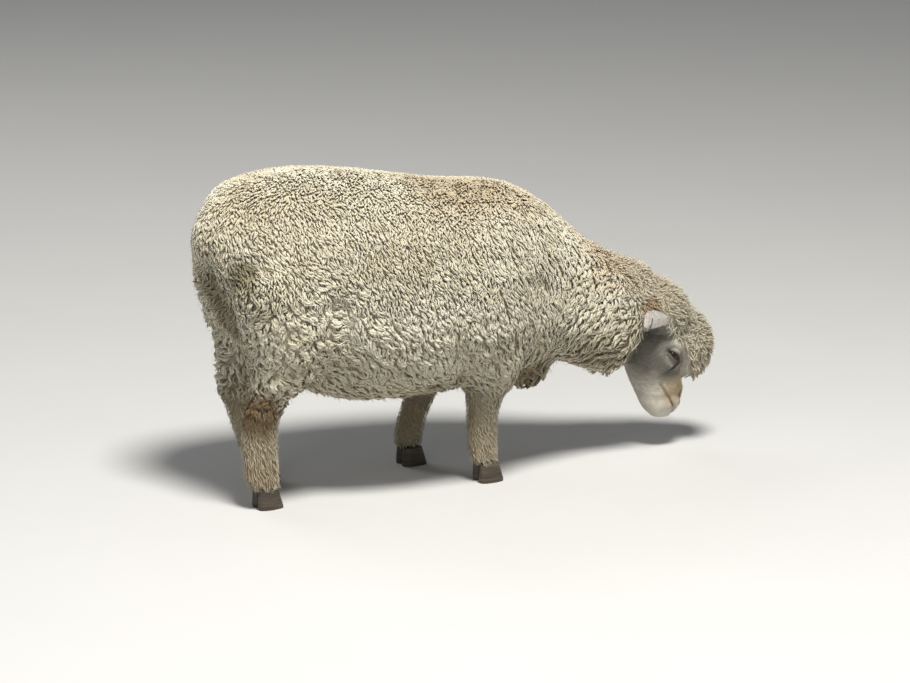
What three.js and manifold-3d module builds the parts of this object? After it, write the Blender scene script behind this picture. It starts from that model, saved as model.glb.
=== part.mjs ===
// A long-woolled white sheep, life size, grazing: four feet on the ground, neck lowered, face hanging
// straight down with the muzzle just above the ground. The solids are the outline of the fleece.
// Millimetres. +X is the way the body faces, +Y its left side, +Z up.
import * as THREE from "three";
import { mergeVertices } from "three/addons/utils/BufferGeometryUtils.js";
import Module from "manifold-3d";

const wasm = await Module();
wasm.setup();

// ---- Driving dimensions ----

const GAP = 0.4; // left between neighbouring pieces
const SOLE_TOP = 44; // height of the hoof walls, where the woolly shank begins
const HOCK = 232; // height of the cut between thigh and hind shank
const KNEE = 186; // height of the cut between upper and lower foreleg

// Trunk and neck, as sections along X that lean forward over the neck:
// x, top of the fleece, height of the widest point, underside, half width, lean (x per unit of height).
const BARREL = [
  [-414, 634, 545, 440, 122, 0],
  [-380, 648, 525, 388, 140, 0],
  [-330, 674, 505, 330, 168, 0],
  [-250, 691, 480, 266, 202, 0],
  [-160, 693, 450, 208, 222, 0],
  [-60, 682, 430, 186, 236, 0],
  [50, 662, 415, 183, 240, 0],
  [160, 642, 405, 192, 232, 0],
  [230, 637, 400, 203, 216, 0],
  [285, 629, 395, 212, 198, 0],
  [330, 608, 390, 220, 178, 0.02],
  [380, 566, 378, 230, 155, 0.07],
  [436, 506, 360, 219, 132, 0.16],
  [510, 452, 325, 196, 112, 0.3],
  [570, 425, 300, 175, 100, 0.42],
  [620, 396, 285, 157, 84, 0.45],
];
const RUMP_ROUND = 96; // length over which the rump closes
const NECK_ROUND = 40; // length over which the hidden front end closes
const SECTION_POWER = 0.9; // below 1 squares the sections a little

// Brisket wool hanging between the forelegs: centre and half sizes.
const BRISKET = { at: [334, 0, 268], half: [80, 96, 104] };

// Head, as level sections from the muzzle up:
// z, back of the jaw, front of the face, half width, y exponent.
const SKULL = [
  [60, 645, 698, 20, 2.2],
  [76, 634, 711, 31, 2.4],
  [98, 625, 717, 36, 2.3],
  [122, 614, 723, 39, 2.2],
  [152, 601, 732, 47, 2.2],
  [188, 589, 741, 60, 2.3],
  [218, 582, 748, 66, 2.4],
  [258, 580, 750, 67, 2.3],
  [300, 590, 738, 66, 2.2],
  [345, 612, 706, 58, 2.0],
];
const MUZZLE_ROUND = 14;
const CROWN_ROUND = 40;
const FACE_NARROWING = 0.2; // share of its width that the head loses towards the front of the face

// Wool on the head: centre, half sizes and forward lean in degrees.
const TOPKNOT = { at: [731, 0, 228], half: [68, 68, 88], lean: -4 };
const CROWN_WOOL = { at: [655, 0, 312], half: [94, 86, 76], lean: 32 };

// Hollow below the tail, between the buttocks.
const CROTCH = { at: [-432, 0, 385], half: [100, 70, 165] };

const EYE = { at: [671, 55, 217], radius: 13.5 };

// Ear, from root to tip: share of the length, blade above the line of the ear, below it, half thickness.
const EAR_ROOT = [664, 60, 296];
const EAR_TIP = [566, 126, 312];
const EAR_TILT = 35; // degrees that the blade leans in over the neck
const EAR_LEAF = [
  [0, 14, 9, 9],
  [0.2, 27, 9, 8],
  [0.5, 33, 10, 5.5],
  [0.8, 28, 10, 4],
  [1, 11, 6, 2.5],
];
const EAR_CURL = 10; // depth of the hollow across the leaf
const EAR_DROOP = 6; // fall of the tip below a straight ear

// Docked tail under its wool, from root to tip: z, x, half depth, half width.
const TAIL = [
  [652, -344, 30, 42],
  [612, -368, 30, 50],
  [572, -386, 29, 54],
  [532, -391, 26, 50],
  [502, -388, 18, 40],
];
const TAIL_ROUND = 24; // length over which each end of the tail closes

// Legs, as level sections from the ankle up: z, x, y, half depth, half width.
const HIND_RIGHT = [
  [40, -305, -98, 38, 34],
  [60, -311, -98, 42, 37],
  [110, -315, -99, 43, 38],
  [165, -315, -100, 43, 39],
  [200, -312, -101, 45, 41],
  [228, -303, -103, 53, 45],
  [244, -286, -106, 66, 51],
  [262, -271, -110, 78, 59],
  [300, -259, -118, 86, 72],
  [350, -264, -126, 96, 83],
  [410, -274, -130, 103, 88],
  [480, -280, -126, 100, 84],
  [540, -280, -115, 70, 60],
];
const HIND_LEFT = [
  [40, -226, 100, 38, 34],
  [60, -234, 100, 42, 37],
  [110, -250, 100, 43, 38],
  [165, -268, 101, 43, 39],
  [200, -280, 102, 45, 41],
  [228, -280, 104, 53, 45],
  [244, -270, 107, 64, 51],
  [262, -260, 111, 74, 59],
  [300, -246, 118, 82, 72],
  [350, -250, 126, 92, 83],
  [410, -260, 130, 100, 88],
  [480, -272, 126, 98, 84],
  [540, -280, 115, 70, 60],
];
const FORE_RIGHT = [
  [40, 203, -97, 34, 32],
  [60, 198, -97, 37, 34],
  [110, 195, -97, 37, 34],
  [160, 197, -98, 40, 37],
  [190, 203, -100, 48, 42],
  [215, 212, -106, 58, 52],
  [260, 217, -117, 64, 68],
  [320, 218, -124, 70, 80],
  [390, 218, -118, 72, 78],
  [450, 218, -105, 60, 60],
];
const FORE_LEFT = [
  [40, 112, 97, 34, 32],
  [60, 112, 97, 36, 34],
  [105, 121, 97, 36, 34],
  [140, 137, 98, 38, 37],
  [165, 147, 99, 42, 41],
  [200, 163, 104, 52, 50],
  [250, 184, 115, 62, 66],
  [320, 205, 124, 70, 80],
  [390, 216, 118, 72, 78],
  [450, 218, 105, 60, 60],
];

// One claw of a cloven hoof.
const CLAW = { length: 62, width: 27, apart: 31, forward: 8, toeSlope: 14, heelSlope: 4, toeNarrowing: 0.3 };
const CLAW_LEVELS = [0, 7, 22, SOLE_TOP - GAP];
const SOLE_SHARE = 0.94; // size of the flat sole beside the wall above it

// ---- Materials ----

const fleece = new THREE.MeshStandardMaterial({ color: 0xc9b898, roughness: 0.95 });
const hair = new THREE.MeshStandardMaterial({ color: 0xd8d2c4, roughness: 0.85 });
const earSkin = new THREE.MeshStandardMaterial({ color: 0xd9c3b8, roughness: 0.75 });
const eyeball = new THREE.MeshStandardMaterial({ color: 0x1c140c, roughness: 0.1 });
const horn = new THREE.MeshStandardMaterial({ color: 0x3b3228, roughness: 0.55 });

// ---- Shape tools ----

// The columns of a table at position t, on a smooth curve through its rows.
function rowAt(table, t) {
  const last = table.length - 1;
  const i = Math.min(last - 1, Math.max(0, table.findIndex((row) => row[0] > t) - 1));
  const k = t >= table[last][0] ? last - 1 : i;
  const [a, b] = [table[k], table[k + 1]];
  const [before, after] = [table[Math.max(0, k - 1)], table[Math.min(last, k + 2)]];
  const span = b[0] - a[0];
  const s = THREE.MathUtils.clamp((t - a[0]) / span, 0, 1);
  return a.slice(1).map((value, c) => {
    const slopeA = ((b[c + 1] - before[c + 1]) / (b[0] - before[0])) * span;
    const slopeB = ((after[c + 1] - value) / (after[0] - a[0])) * span;
    const rise = b[c + 1] - value;
    return value + s * (slopeA + s * (3 * rise - 2 * slopeA - slopeB + s * (slopeA + slopeB - 2 * rise)));
  });
}

// Positions from a to b, closer together towards ends that are rounded off.
const END_CROWDING = 0.55;
function positions(a, b, count, roundA, roundB) {
  const list = [];
  for (let i = 0; i <= count; i++) {
    const even = i / count;
    const eased = (1 - Math.cos(Math.PI * even)) / 2;
    const share = roundA + roundB > 0 ? THREE.MathUtils.lerp(even, eased, END_CROWDING) : even;
    list.push(a + (b - a) * share);
  }
  return list;
}

// How full a section is, from 0 at an end to 1 beyond its rounded length.
function fullness(t, a, b, roundA, roundB) {
  const ends = [
    [t - a, roundA],
    [b - t, roundB],
  ];
  return ends.reduce((full, [from, round]) => {
    const s = round > 0 ? THREE.MathUtils.clamp(from / round, 0, 1) : 1;
    return full * Math.sqrt(1 - (1 - s) ** 2);
  }, 1);
}

// A signed power, which squares or sharpens a circle.
function power(value, exponent) {
  return Math.sign(value) * Math.abs(value) ** exponent;
}

// A closed solid through rings of points, each ring the same number of points.
function loft(rings) {
  const sides = rings[0].length;
  const points = rings.flat();
  const faces = [];
  for (let r = 0; r + 1 < rings.length; r++) {
    for (let s = 0; s < sides; s++) {
      const a = r * sides + s;
      const b = r * sides + ((s + 1) % sides);
      faces.push(a, b, b + sides, a, b + sides, a + sides);
    }
  }
  [0, rings.length - 1].forEach((r) => {
    const middle = new THREE.Vector3();
    rings[r].forEach((p) => middle.add(p));
    points.push(middle.divideScalar(sides));
    for (let s = 0; s < sides; s++) {
      const a = r * sides + s;
      const b = r * sides + ((s + 1) % sides);
      faces.push(...(r === 0 ? [b, a] : [a, b]), points.length - 1);
    }
  });
  const made = build(points, faces);
  return made.volume() > 0 ? made : build(points, faces.reverse());
}

function build(points, faces) {
  return new wasm.Manifold(
    new wasm.Mesh({
      numProp: 3,
      vertProperties: Float32Array.from(points.flatMap((p) => p.toArray())),
      triVerts: Uint32Array.from(faces),
    }),
  );
}

function fromGeometry(geometry) {
  geometry.deleteAttribute("normal");
  geometry.deleteAttribute("uv");
  const merged = mergeVertices(geometry);
  const { array } = merged.attributes.position;
  const points = [];
  for (let i = 0; i < array.length; i += 3) points.push(new THREE.Vector3(array[i], array[i + 1], array[i + 2]));
  return build(points, [...merged.index.array]);
}

// The main body of a cut solid, without the slivers a cut can leave beside it.
function mainBody(solid) {
  return solid.decompose().reduce((a, b) => (b.volume() > a.volume() ? b : a));
}

function toMesh(name, solid, material) {
  const { vertProperties, triVerts } = mainBody(solid).getMesh();
  const geometry = new THREE.BufferGeometry();
  geometry.setAttribute("position", new THREE.BufferAttribute(new Float32Array(vertProperties), 3));
  geometry.setIndex(new THREE.BufferAttribute(triVerts, 1));
  geometry.computeVertexNormals();
  const mesh = new THREE.Mesh(geometry, material);
  mesh.name = name;
  return mesh;
}

function ellipsoid({ at, half, lean = 0 }, detail = [16, 11]) {
  const ball = new THREE.SphereGeometry(1, ...detail);
  ball.scale(...half).rotateY(THREE.MathUtils.degToRad(lean)).translate(...at);
  return fromGeometry(ball);
}

// The space inside a set of planes, each an outward normal and a point on it, grown by a distance.
const everywhere = fromGeometry(new THREE.BoxGeometry(4000, 4000, 4000));
function space(planes, grow = 0) {
  return planes.reduce((block, [out, point]) => {
    const normal = new THREE.Vector3(...out).normalize();
    const offset = normal.dot(new THREE.Vector3(...point)) + grow;
    return block.trimByPlane(normal.negate().toArray(), -offset);
  }, everywhere);
}

// ---- Pieces before parting ----

function barrel() {
  const [start, end] = [BARREL[0][0], BARREL.at(-1)[0]];
  const rings = positions(start, end, 34, RUMP_ROUND, NECK_ROUND)
    .slice(1, -1)
    .map((x) => {
      const [top, wide, under, half, lean] = rowAt(BARREL, x);
      const full = fullness(x, start, end, RUMP_ROUND, NECK_ROUND);
      return ring(24, (c, s) => {
        const rise = full * (s > 0 ? top - wide : wide - under) * power(s, SECTION_POWER);
        return [x + lean * rise, half * full * power(c, SECTION_POWER), wide + rise];
      });
    });
  return loft(rings);
}

// A closed ring of points from a function of the cosine and sine of each angle.
function ring(sides, place) {
  return Array.from({ length: sides }, (_, i) => {
    const angle = (2 * Math.PI * i) / sides;
    return new THREE.Vector3(...place(Math.cos(angle), Math.sin(angle)));
  });
}

function skull() {
  const [start, end] = [SKULL[0][0], SKULL.at(-1)[0]];
  const rings = positions(start, end, 16, MUZZLE_ROUND, CROWN_ROUND)
    .slice(1, -1)
    .map((z) => {
      const [jaw, face, half, exponent] = rowAt(SKULL, z);
      const full = fullness(z, start, end, MUZZLE_ROUND, CROWN_ROUND);
      const middle = (jaw + face) / 2;
      return ring(20, (c, s) => [
        middle + full * ((face - jaw) / 2) * power(c, 2 / exponent),
        full * half * power(s, 2 / exponent) * (c > 0 ? 1 - FACE_NARROWING * c * c : 1),
        z,
      ]);
    });
  return loft(rings);
}

function leg(table) {
  const rings = positions(table[0][0], table.at(-1)[0], 18, 0, 0).map((z) => {
    const [x, y, depth, half] = rowAt(table, z);
    return ring(14, (c, s) => [x + depth * c, y + half * s, z]);
  });
  return loft(rings);
}

function tail(grow = 0) {
  const table = [...TAIL].reverse();
  const [start, end] = [table[0][0] - grow, table.at(-1)[0] + grow];
  const rings = positions(start, end, 10, TAIL_ROUND, TAIL_ROUND)
    .slice(1, -1)
    .map((z) => {
      const [x, depth, half] = rowAt(table, z);
      const full = fullness(z, start, end, TAIL_ROUND, TAIL_ROUND);
      return ring(14, (c, s) => [x + (full * depth + grow) * c, (full * half + grow) * s, z]);
    });
  return loft(rings);
}

// side is -1 for the right ear and 1 for the left one.
function ear(side, grow = 0) {
  const root = new THREE.Vector3(EAR_ROOT[0], side * EAR_ROOT[1], EAR_ROOT[2]);
  const tip = new THREE.Vector3(EAR_TIP[0], side * EAR_TIP[1], EAR_TIP[2]);
  const along = tip.clone().sub(root).normalize();
  const tilt = THREE.MathUtils.degToRad(EAR_TILT);
  const face = new THREE.Vector3(0, side * Math.cos(tilt), Math.sin(tilt)).cross(along).cross(along).normalize();
  const across = along.clone().cross(face);
  const upward = Math.sign(across.z);
  const rings = positions(0, 1, 8, 0, 0).map((t) => {
    const [above, below, thick] = rowAt(EAR_LEAF, t);
    return ring(12, (c, s) => {
      const wide = upward * ((above - below) / 2) + ((above + below) / 2 + grow) * c;
      const bend = EAR_CURL * Math.sin(Math.PI * t) * (c * c - 0.5);
      const droop = -EAR_DROOP * t * t;
      return root
        .clone()
        .lerp(tip, t)
        .addScaledVector(across, wide)
        .addScaledVector(face, (thick + grow) * s + bend)
        .add(new THREE.Vector3(0, 0, droop))
        .toArray();
    });
  });
  return loft(rings);
}

function eye(side, grow = 0) {
  const radius = EYE.radius + grow;
  const [x, y, z] = EYE.at;
  return ellipsoid({ at: [x, side * y, z], half: [radius, radius, radius] }, [12, 8]);
}

// The claw of a foot that stands at x, y; side is -1 or 1 for its right or left claw.
function claw(x, y, side) {
  const rings = CLAW_LEVELS.map((z) => {
    const up = z / SOLE_TOP;
    const front = x + CLAW.forward + CLAW.length / 2 - CLAW.toeSlope * up;
    const back = x + CLAW.forward - CLAW.length / 2 + CLAW.heelSlope * up;
    const foot = z === 0 ? SOLE_SHARE : 1;
    return ring(12, (c, s) => [
      (front + back) / 2 + foot * ((front - back) / 2) * c,
      y + side * (CLAW.apart / 2) + foot * (CLAW.width / 2) * s * (1 - CLAW.toeNarrowing * c),
      z,
    ]);
  });
  return loft(rings);
}

// ---- Parting cuts ----

const NECK_FROM_TRUNK = [
  [-0.978, 0, -0.209],
  [372, 0, 410],
];
const HEAD_FROM_NECK = [
  [-0.912, 0, 0.41],
  [598, 0, 285],
];

function above(z) {
  return [
    [0, 0, -1],
    [0, 0, z],
  ];
}

function below(z) {
  return [
    [0, 0, 1],
    [0, 0, z],
  ];
}

// Planes round a leg: the midline, a slope that rises outwards from it, and its front and back.
function legPlanes(side, { inner, slope, back, front, splay = 0, rake = 0 }) {
  return [
    [
      [0, -side, 0],
      [0, side * 0.2, 0],
    ],
    [
      [0, -side * slope, 1],
      [0, 0, inner],
    ],
    [
      [-1, 0, rake],
      [back, 0, SOLE_TOP],
    ],
    [
      [1, side * splay, 0],
      [front, side * 200, 0],
    ],
  ];
}

const HIND_CUT = { inner: 200, slope: 1.4, back: -460, front: -158, splay: -0.3 };
const FORE_CUT = { inner: 100, slope: 1.6, back: 90, front: 266 };
const RAKED_CUT = { inner: 100, slope: 1.6, back: 58, front: 266, rake: 0.2 };
const LEGS = [
  { name: "hind_right", side: -1, table: HIND_RIGHT, cut: HIND_CUT, joint: HOCK },
  { name: "hind_left", side: 1, table: HIND_LEFT, cut: HIND_CUT, joint: HOCK },
  { name: "fore_right", side: -1, table: FORE_RIGHT, cut: FORE_CUT, joint: KNEE },
  { name: "fore_left", side: 1, table: FORE_LEFT, cut: RAKED_CUT, joint: KNEE },
];

// ---- Assembly ----

const sheep = new THREE.Group();

function place(name, solid, material) {
  sheep.add(toMesh(name, solid, material));
}

function assemble() {
  const sides = [
    ["right", -1],
    ["left", 1],
  ];
  let body = barrel().subtract(ellipsoid(CROTCH)).add(ellipsoid(BRISKET));
  LEGS.forEach(({ table }) => (body = body.add(leg(table))));
  let face = skull().add(ellipsoid(TOPKNOT)).add(ellipsoid(CROWN_WOOL));
  const whole = body.add(face);

  let trunk = whole.intersect(space([NECK_FROM_TRUNK.map((v, i) => (i ? v : v.map((n) => -n)))]));
  LEGS.forEach(({ side, cut }) => {
    trunk = trunk.subtract(space(legPlanes(side, cut), GAP));
  });
  place("trunk", trunk.subtract(tail(GAP)), fleece);
  place("tail", tail(), fleece);
  sides.forEach(([name, side]) => place(`ear_${name}`, ear(side), earSkin));
  LEGS.forEach(({ name, side, cut, joint }) => {
    const limb = whole.intersect(space(legPlanes(side, cut)));
    place(`upper_leg_${name}`, limb.intersect(space([above(joint + GAP)])), fleece);
    place(`lower_leg_${name}`, limb.intersect(space([below(joint), above(SOLE_TOP)])), fleece);
  });
  let neck = whole.intersect(space([NECK_FROM_TRUNK], -GAP)).subtract(space([HEAD_FROM_NECK], GAP));
  let head = whole.intersect(space([HEAD_FROM_NECK]));
  sides.forEach(([name, side]) => {
    neck = neck.subtract(ear(side, GAP));
    head = head.subtract(ear(side, GAP)).subtract(eye(side, GAP));
    place(`eye_${name}`, eye(side), eyeball);
  });
  place("neck", neck, fleece);
  place("head", head, hair);
  LEGS.forEach(({ name, table }) => {
    const [, x, y] = table[0];
    place(`claw_${name}_right`, claw(x, y, -1), horn);
    place(`claw_${name}_left`, claw(x, y, 1), horn);
  });
}

// Puts the middle of the footprint at the origin, on the ground.
function centre() {
  const box = new THREE.Box3().setFromObject(sheep);
  const middle = box.getCenter(new THREE.Vector3());
  sheep.children.forEach((mesh) => mesh.geometry.translate(-middle.x, -middle.y, -box.min.z));
}

assemble();
centre();
export default sheep;
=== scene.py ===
"""A long-woolled white sheep, grazing: skin, fleece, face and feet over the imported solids.

Metres, in the part's own frame: +X the way the body faces, +Y its left, +Z up, the ground at Z = 0.
"""

import math

import bmesh
import bpy
import numpy as np
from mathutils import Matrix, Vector, noise
from mathutils.bvhtree import BVHTree
from mathutils.kdtree import KDTree


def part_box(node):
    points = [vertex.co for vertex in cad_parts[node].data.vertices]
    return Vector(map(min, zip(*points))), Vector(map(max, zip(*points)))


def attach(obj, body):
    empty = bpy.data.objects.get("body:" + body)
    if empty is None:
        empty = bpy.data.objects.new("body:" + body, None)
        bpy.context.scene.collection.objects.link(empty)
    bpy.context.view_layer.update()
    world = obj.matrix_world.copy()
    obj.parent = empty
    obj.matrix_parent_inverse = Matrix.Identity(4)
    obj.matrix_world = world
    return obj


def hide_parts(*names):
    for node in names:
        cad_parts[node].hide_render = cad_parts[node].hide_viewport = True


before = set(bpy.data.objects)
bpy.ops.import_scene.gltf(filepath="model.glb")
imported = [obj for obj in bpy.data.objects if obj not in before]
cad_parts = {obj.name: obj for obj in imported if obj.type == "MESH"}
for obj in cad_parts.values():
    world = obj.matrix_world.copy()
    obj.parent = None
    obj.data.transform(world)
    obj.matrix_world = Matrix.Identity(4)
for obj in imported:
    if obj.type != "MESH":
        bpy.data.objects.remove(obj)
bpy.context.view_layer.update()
RNG = np.random.default_rng(7)
SIDES = (-1, 1)  # right and left, as the sign of Y

# ---- Camera, set up like the picture's ----

CAMERA_AIM = (-0.0122, 0.0, 0.2852)
CAMERA_AZIMUTH = -25.0
CAMERA_ELEVATION = 13.5
CAMERA_DISTANCE = 10.0
CAMERA_LENS = 185.9  # mm
CAMERA_SENSOR = 36  # mm wide

# ---- The animal's landmarks, on the left where there are two ----

EYE_AT = tuple((low + high) / 2 for low, high in zip(*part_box("eye_left")))
EYE_AT_SKIN = (EYE_AT[0] + 0.002, EYE_AT[1] + 0.012, EYE_AT[2])
EYE_RADIUS = 0.0135
EYE_OUTWARD = (0.16, 0.97, 0.10)
EYE_REACH = 0.026  # from the eye's middle to the outside of its lids
EAR_ROOT = (0.4738, 0.060, 0.296)
EAR_TIP = (0.3758, 0.126, 0.312)
EAR_TILT = 35.0  # degrees above level that the ear's back faces
EAR_DROOP = 0.006  # of the tip, below the line from the root
EAR_LENGTHS = [0, 0.2, 0.45, 0.65, 0.85, 1]
EAR_ABOVE = [0.009, 0.024, 0.0365, 0.0320, 0.0145, 0.003]  # blade above the line of the ear
EAR_BELOW = [0.008, 0.0085, 0.0095, 0.0100, 0.0090, 0.006]
EAR_HALF_DEPTHS = [0.0075, 0.0060, 0.0036, 0.0028, 0.0022, 0.0016]
EAR_CUT = [(0.86, -1.0), (0.80, -0.45), (0.70, 0.05)]  # the slit in its lower rim: along, across
EAR_RIM = 0.0016
EAR_CUP = 0.010
EAR_CURL = 0.0035  # of its lower edge
EAR_NICK = dict(depth=0.6, width=0.022)  # in the lower edge, at the slit's end; depth as a share
EAR_SOCKET = dict(at=(0.474, 0.052, 0.302), half=(0.038, 0.025, 0.034))  # flesh round the ear's root
TOPKNOT = dict(at=(0.5408, 0, 0.228), half=(0.068, 0.068, 0.088), lean=-4)
CROWN = dict(at=(0.4648, 0, 0.312), half=(0.094, 0.086, 0.076), lean=32)
WOOL_LINE_Z = [0.140, 0.150, 0.166, 0.199, 0.2205, 0.253, 0.2824, 0.300]  # brow wool, up from the nose
WOOL_LINE_X = [0.620, 0.548, 0.5336, 0.5196, 0.5138, 0.4917, 0.4722, 0.395]
NECK_END = ((0.912, -0.41), (0.4078, 0.285))  # direction and a point, in X and Z
BROW_EDGE = dict(at=(0.452, 0.060, 0.278), radius=0.055)  # where the brow's wool stops
WISP = dict(at=(0.484, 0.075, 0.285), radius=0.036)  # longer, paler locks before the ear
# Heights, then x and y of the shank's middle at them: right and left hind leg, right and left fore.
LEG_AXES = [
    ([0.04, 0.11, 0.2, 0.26], [-0.496, -0.505, -0.502, -0.461], [-0.098, -0.099, -0.101, -0.110]),
    ([0.04, 0.11, 0.2, 0.26], [-0.416, -0.440, -0.470, -0.450], [0.100, 0.100, 0.102, 0.111]),
    ([0.04, 0.11, 0.16, 0.26], [0.013, 0.005, 0.007, 0.027], [-0.097, -0.097, -0.098, -0.117]),
    ([0.04, 0.105, 0.165, 0.25], [-0.078, -0.069, -0.043, -0.006], [0.097, 0.097, 0.099, 0.115]),
]
SHANK_RADIUS = (0.066, 0.052)  # short hair ends between these distances from the leg's axis
SHANK_TOP = (0.240, 0.185)  # and between these heights

# ---- Depth of the coat, from the skin to the tips of the locks ----

WOOL_DEPTH = 0.013  # on the sides
THIGH_DEPTH = 0.017
BACK_DEPTH = 0.008
HEAD_WOOL_DEPTH = 0.014
SHANK_DEPTH = 0.008
FACE_DEPTH = 0.0012
FOLD_DEPTH = 0.010  # that a crease of the fleece adds

# ---- The making of the skin ----

SKIN_VOXEL = 0.005
DEPTH_STEPS = 4  # in which the skin sinks under the coat, smoothed after each
OUTLINE_PASSES = 14  # of smoothing
BROW_PASSES = 110
MUZZLE_PASSES = 40
LINE_REACH = 0.011  # round the lines of the face, where the mesh is finest
PASTERN_TOP = (0.06, 0.05)  # below it the skin sinks sideways only, so that it still meets the claws
HEAD_FROM = 0.3  # the head lies ahead of this x
MUZZLE_MIDDLE = (0.484, 0.0)
MUZZLE_TAPER = 0.40  # share by which the lips are drawn in to that middle


# ---- Small maths on arrays ----

def unit(v):
    return v / np.maximum(np.linalg.norm(v, axis=-1, keepdims=True), 1e-12)


def mirrored(at, side):
    """A place or a line of the left side, on one side or the other."""
    return np.array(at) * (1, side, 1)


def in_surface(v, up):
    """What is left of vectors v in the surface whose normals are up."""
    return v - up * (v * up).sum(axis=1, keepdims=True)


def ease(low, high, x):
    """0 up to low, 1 from high, smooth between; low may be the larger."""
    t = np.clip((x - low) / (high - low), 0, 1)
    return t * t * (3 - 2 * t)


def bump(p, at, radius):
    """1 at a point, fading smoothly to 0 over a radius."""
    d = np.linalg.norm(p - np.asarray(at), axis=-1) / radius
    return np.clip(1 - d * d, 0, 1) ** 2


def both_sides(p, at, radius):
    """The same bump on the left and on the right: twice as high if it is on the midline."""
    return bump(p, mirrored(at, 1), radius) + bump(p, mirrored(at, -1), radius)


def outside(p, form):
    """0 in a leaning ellipsoid, 1 clear of it."""
    tilt = math.radians(form["lean"])
    x, y, z = (p - np.asarray(form["at"])).T
    across = x * math.cos(tilt) - z * math.sin(tilt)
    upward = x * math.sin(tilt) + z * math.cos(tilt)
    return ease(1.02, 1.14, np.sqrt(sum((v / h) ** 2 for v, h in zip((across, y, upward), form["half"]))))


def line_distance(p, points):
    """Distance from each point of p to a polyline."""
    best = np.full(len(p), np.inf)
    for a, b in zip(np.array(points[:-1]), np.array(points[1:])):
        t = np.clip(((p - a) @ (b - a)) / max((b - a) @ (b - a), 1e-12), 0, 1)
        best = np.minimum(best, np.linalg.norm(p - a - t[:, None] * (b - a), axis=1))
    return best


def drift(p, scale, seed):
    """Smooth noise from about -1 to 1."""
    return np.array([noise.noise(Vector(q) / scale + Vector((seed, seed * 1.7, 3.1))) for q in p])


# ---- Regions of the body, each from 0 to 1 ----

def on_shank(p):
    x, y, z = p.T
    near = np.full(len(p), np.inf)
    for heights, xs, ys in LEG_AXES:
        near = np.minimum(near, np.hypot(x - np.interp(z, heights, xs), y - np.interp(z, heights, ys)))
    return ease(*SHANK_RADIUS, near) * ease(*SHANK_TOP, z)


def past_neck(p):
    """Beyond the slanting end of the neck's wool, towards the face."""
    (dx, dz), (x0, z0) = NECK_END
    return ease(-0.004, 0.008, dx * (p[:, 0] - x0) + dz * (p[:, 2] - z0))


def on_bare_face(p):
    """The short-haired face: ahead of the neck, and behind and below the wool line of the brow."""
    brow = np.interp(p[:, 2], WOOL_LINE_Z, WOOL_LINE_X)
    return past_neck(p) * ease(0.006, -0.006, p[:, 0] - brow)


def on_thin_coat(p):
    """Where the surface of the solids is the face itself, with no wool over it."""
    return past_neck(p) * outside(p, TOPKNOT) * outside(p, CROWN)


def on_head_wool(p):
    return ease(0.33, 0.42, p[:, 0] + 0.4 * (p[:, 2] - 0.3))


def on_neck(p):
    return ease(0.14, 0.24, p[:, 0]) * (1 - ease(0.36, 0.44, p[:, 0]))


def on_thigh(p):
    x, _, z = p.T
    return ease(-0.34, -0.40, x - 0.2 * (z - 0.3)) * ease(0.52, 0.40, z) * (1 - on_shank(p))


FOLDS = [  # creases of the fleece on the right side, each a line and its width
    ([(-0.365, -0.205, 0.44), (-0.350, -0.200, 0.37), (-0.350, -0.175, 0.30), (-0.370, -0.140, 0.26)], 0.024),
    ([(-0.100, -0.205, 0.34), (-0.075, -0.185, 0.29), (-0.060, -0.150, 0.24)], 0.022),
    ([(0.105, -0.200, 0.44), (0.110, -0.185, 0.36), (0.100, -0.150, 0.28)], 0.024),
    ([(-0.470, -0.190, 0.40), (-0.480, -0.165, 0.31)], 0.018),
]


def in_folds(p):
    """1 along the creases on both sides of the body, fading to 0 beside them."""
    folded = np.zeros(len(p))
    for line, width in FOLDS:
        near = np.minimum(line_distance(p, line), line_distance(mirrored(p, -1), line))
        folded = np.maximum(folded, np.exp(-((near / width) ** 2)))
    return folded


def coat_depth(p):
    depth = WOOL_DEPTH + (THIGH_DEPTH - WOOL_DEPTH) * on_thigh(p)
    depth = depth + (BACK_DEPTH - depth) * ease(0.46, 0.60, p[:, 2])
    depth = depth + (HEAD_WOOL_DEPTH - depth) * on_head_wool(p)
    depth = depth + (SHANK_DEPTH - depth) * on_shank(p)
    return depth + (FACE_DEPTH - depth) * on_thin_coat(p)


# ---- Making things ----

def made_with(thing, **settings):
    for key, value in settings.items():
        setattr(thing, key, value)
    return thing


def linked(name, data):
    """A new object of the scene with some data."""
    made = bpy.data.objects.new(name, data)
    bpy.context.scene.collection.objects.link(made)
    return made


def fetched(items, key, width=1, kind=np.float32):
    """One property of all the items of a collection, a row for each."""
    out = np.empty(len(items) * width, kind)
    items.foreach_get(key, out)
    return out.reshape(-1, width)


def coordinates(mesh):
    return fetched(mesh.vertices, "co", 3).astype(float)


def vertex_normals(mesh):
    return fetched(mesh.vertex_normals, "vector", 3).astype(float)


def edge_list(mesh):
    return fetched(mesh.edges, "vertices", 2, np.int32)


def triangles(mesh, key="vertices"):
    """The vertices, or the loops, at the corners of the mesh's triangles."""
    mesh.calc_loop_triangles()
    return fetched(mesh.loop_triangles, key, 3, np.int32)


def read_values(mesh, key):
    return fetched(mesh.attributes[key].data, "value")[:, 0].astype(float)


def write_values(mesh, values):
    """Stores values of the vertices under their names."""
    for key, value in values.items():
        layer = mesh.attributes.new(key, "FLOAT", "POINT")
        layer.data.foreach_set("value", np.asarray(value, np.float32))


def move(mesh, points):
    mesh.vertices.foreach_set("co", np.asarray(points, np.float32).ravel())
    mesh.update()


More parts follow.
